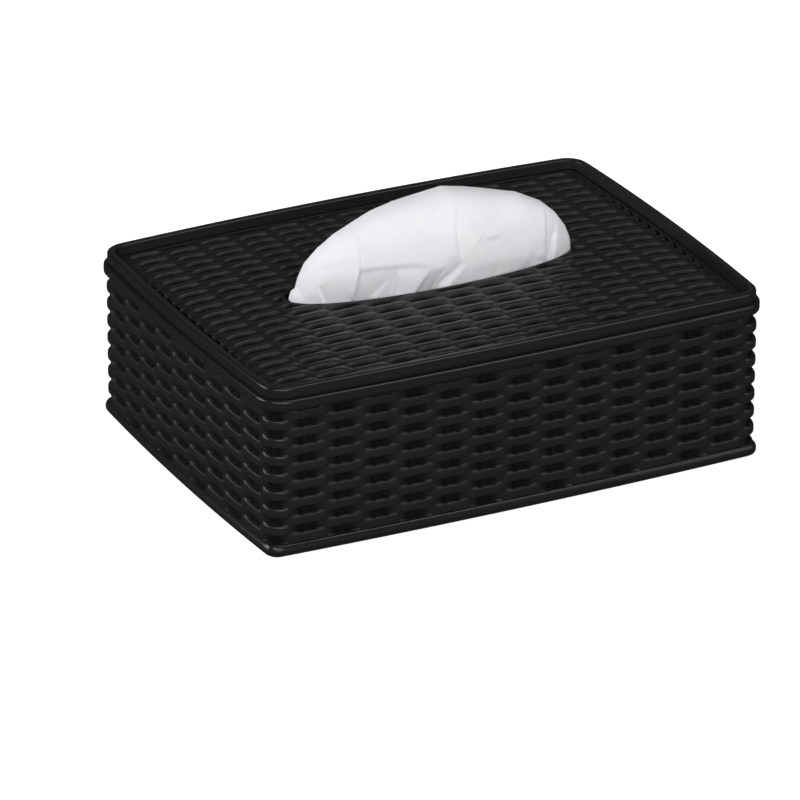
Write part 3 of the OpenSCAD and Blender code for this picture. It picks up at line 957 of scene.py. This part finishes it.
def pressed(x, z, creases, facets):
    """How far the creases and facets push the sheet out at each place."""
    total = sum(facet_push(x, z, fade, corners) for fade, corners in facets)
    for path, left, right in creases:
        best, sign, along, run = np.full_like(x, FAR), np.ones_like(x), np.zeros_like(x), 0.0
        for (ax, az), (bx, bz) in zip(path, path[1:]):
            length = math.hypot(bx - ax, bz - az)
            ux, uz = (bx - ax) / length, (bz - az) / length
            s = np.clip((x - ax) * ux + (z - az) * uz, 0, length)
            off = np.hypot(x - ax - s * ux, z - az - s * uz)
            nearer = off < best
            turned = ux * (z - az) - uz * (x - ax)
            best, sign = np.where(nearer, off, best), np.where(nearer, turned, sign)
            along = np.where(nearer, run + s, along)
            run += length
        edge = np.clip(np.sign(sign) * best / CREASE_EDGE, -1, 1) * 0.5 + 0.5
        on_right, on_left = (side[0] * np.exp(-best / side[1]) for side in (right, left))
        push = (1 - edge) * on_right + edge * on_left
        taper = np.clip(np.minimum(along, run - along) / (TAPER * run), 0, 1)
        total += push * np.sin(taper * PI / 2)
    return total


def crumple(x, z, seed):
    """Low facets all over: waves with straight flanks, laid over each other at angles."""
    rng = np.random.default_rng(seed)
    total = np.zeros_like(x)
    for wave in (47, 38, 29, 23, 18):
        angle, shift = rng.uniform(0, PI), rng.uniform(0, 1)
        phase = (x * math.cos(angle) + z * math.sin(angle)) / wave + shift
        total += wave * 0.022 * (np.abs(phase % 1 - 0.5) * 2 - 0.5)
    return total


# %% The leading tissue
FOLDS_BELOW, FOLD_STEPS = 8, 6
FOLD_LOW, FOLD_HIGH = 56.0, 74.0
LEAST_HALF = 0.7  # half the sheet's thickness at the slot's two ends
ARCH_Y, ARCH_Z = 0.85, 0.92  # below 1, the dome's flanks are fuller than a circle's
FACING = 2.2  # how soon creases reach full depth down from the crest
ROOM = 4  # creases stand out fully only this far above the lip
DEEPEST = 0.55  # how far creases may go in, as a share of the dome's depth
LIFTED = 0.4  # how much of a crease's push goes up at the crest
FADE_BELOW = 12  # how far creases run on below the ledge


def tissue_section(x):
    """Points (y, z) of the sheet's section at each x: the folds below, then up the front,
    over the crest and down the rear."""
    front = np.maximum(slot_half(x, SLOT_GAP), LEAST_HALF)
    rear = front * REAR_SHARE
    crest = np.interp(x, *zip(*CREST))
    turn = np.linspace(0, FOLDS_BELOW * PI, FOLDS_BELOW * FOLD_STEPS + 1)[::-1, None]
    inner_front, inner_rear = np.maximum(front - 1, front / 3), np.maximum(rear - 1, rear / 3)
    fold_y = (inner_rear - inner_front) / 2 - (inner_rear + inner_front) / 2 * np.cos(turn)
    fold_z = FOLD_LOW + (FOLD_HIGH - FOLD_LOW) * turn / turn[0] + 0 * x
    down = np.linspace(0, 1, 10)[:, None]
    wall_y, wall_z = -front + 0 * down, TISSUE_FOOT + (LEDGE - TISSUE_FOOT) * down + 0 * x
    sweep = np.linspace(0, PI, 104)[1:-1, None]
    cosine, sine = np.cos(sweep), np.sin(sweep)
    depth = np.where(cosine > 0, front, rear)
    flank = np.sign(cosine) * np.abs(cosine) ** ARCH_Y
    lean = LEAN * depth * np.abs(flank)
    drawn_x, drawn_z = x + lean, LEDGE + (crest - LEDGE) * np.abs(sine) ** ARCH_Z
    facing = np.clip(np.abs(cosine) * FACING, 0, 1)
    push_front, push_rear = (
        pressed(drawn_x, drawn_z, creases, facets) + crumple(drawn_x, drawn_z, seed)
        for creases, facets, seed in ((FRONT_CREASES, FRONT_FACETS, 3),
                                      (REAR_CREASES, REAR_FACETS, 8)))
    push = np.where(cosine > 0, push_front, push_rear) * facing
    room = np.clip((drawn_z + lean - LIP_TOP - crown(x, -front) + 1) / ROOM, 0, 1)
    push = np.where(push > 0, push * room, push)
    push = np.maximum(push, -DEEPEST * depth)
    arch_y = -depth * flank - push * np.sign(cosine) * np.abs(flank)
    arch_z = drawn_z + lean + push * sine * LIFTED
    rear_y, rear_z = rear + 0 * down, wall_z[::-1]
    foot_push, rear_push = (
        np.minimum(push[row], 0) * np.clip((wall - LEDGE + FADE_BELOW) / FADE_BELOW, 0, 1)
        for row, wall in ((0, wall_z), (-1, rear_z)))
    y = np.concatenate([fold_y, wall_y - foot_push, arch_y, rear_y + rear_push])
    z = np.concatenate([fold_z, wall_z, arch_z, rear_z])
    return y, z


SHEET_END = 71.75  # half the length of the part that the slot gathers
CROWDING = PI / 2 * 0.82  # the columns stand closer towards the two ends


def leading_tissue(columns=236):
    x = SHEET_END * np.sin(np.linspace(-1, 1, columns) * CROWDING) / math.sin(CROWDING)
    y, z = tissue_section(x)
    points = np.stack([np.broadcast_to(x, y.shape), y, z], -1).reshape(-1, 3) * MM
    made = bpy.data.meshes.new("leading_tissue")
    made.from_pydata(points.tolist(), [], grid_faces(*y.shape).reshape(-1, 4).tolist())
    piece = show(made, paper)
    made.set_sharp_from_angle(angle=PI)
    plies = piece.modifiers.new("two_plies", "SOLIDIFY")
    plies.thickness, plies.offset = PLY * MM, -1
    return piece


leading = leading_tissue()
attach(leading, "tissue")
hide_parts("leading_tissue")
tell(leading)

# %% [markdown]
# ## Floor and light
# The photograph is a catalogue cut-out: plain white, soft light and next to no shadow. A
# white floor that also glows a little stays white round a black object. Glossy rays don't
# see it, so the plastic isn't washed out by its reflection.

# %% Floor


def white_floor():
    made, tree, output = new_material("paper_sweep_white")
    matt = add(tree, "ShaderNodeBsdfDiffuse", {"Color": colour("#f4f4f4")})
    glow = add(tree, "ShaderNodeEmission", {"Color": colour("#ffffff"), "Strength": 0.75})
    both = add(tree, "ShaderNodeAddShader", [matt, glow])
    tree.links.new(both.outputs[0], output.inputs["Surface"])
    return made


def floor_disc(radius=9.0, sides=96):
    shape = bmesh.new()
    bmesh.ops.create_circle(shape, cap_ends=True, segments=sides, radius=radius)
    made = bpy.data.meshes.new("floor")
    shape.to_mesh(made)
    shape.free()
    piece = show(made, white_floor())
    piece.visible_glossy = False
    return piece


floor = floor_disc()
print("floor, m:", [round(v, 1) for v in floor.dimensions])

# %% [markdown]
# Large soft lamps give the broad sheen. Four stand round the front. The one behind is
# weak, so that the hollows on the lid stay dark. One hangs above, and a small one draws
# the thin bright lines along the rims.

# %% Lights


def soft_light(name, place, size, watts):
    """A square area light at place, in metres, that faces the box's middle."""
    data = bpy.data.lights.new(name, "AREA")
    data.shape, data.size, data.energy = "SQUARE", size, watts
    lamp = bpy.data.objects.new(name, data)
    scene.collection.objects.link(lamp)
    lamp.location = place
    lamp.rotation_euler = (MIDDLE - Vector(place)).to_track_quat("-Z", "Y").to_euler()


MIDDLE = Vector((0, 0, 0.05))
AMBIENT = 0.036
LAMPS = (("key", (-1.2, -1.3, 1.3), 1.2, 14), ("left", (-1.6, 0.8, 0.7), 1.2, 17),
         ("front", (-0.3, -2.0, 0.8), 1.2, 13), ("right", (1.4, -1.2, 0.9), 1.2, 6),
         ("top", (0.2, -0.3, 1.5), 0.8, 2.8), ("rear", (0.9, 1.7, 1.25), 1.6, 0.6),
         ("edges", (0.6, -0.6, 1.35), 0.5, 2))
for lamp in LAMPS:
    soft_light(*lamp)
world = bpy.data.worlds.new("studio")
world.use_nodes = True
background = world.node_tree.nodes["Background"].inputs
background["Color"].default_value = colour("#ffffff")
background["Strength"].default_value = AMBIENT
scene.world = world
scene.view_settings.view_transform = "Standard"

# %% [markdown]
# ## Closing

# %% Finish
print("finished")
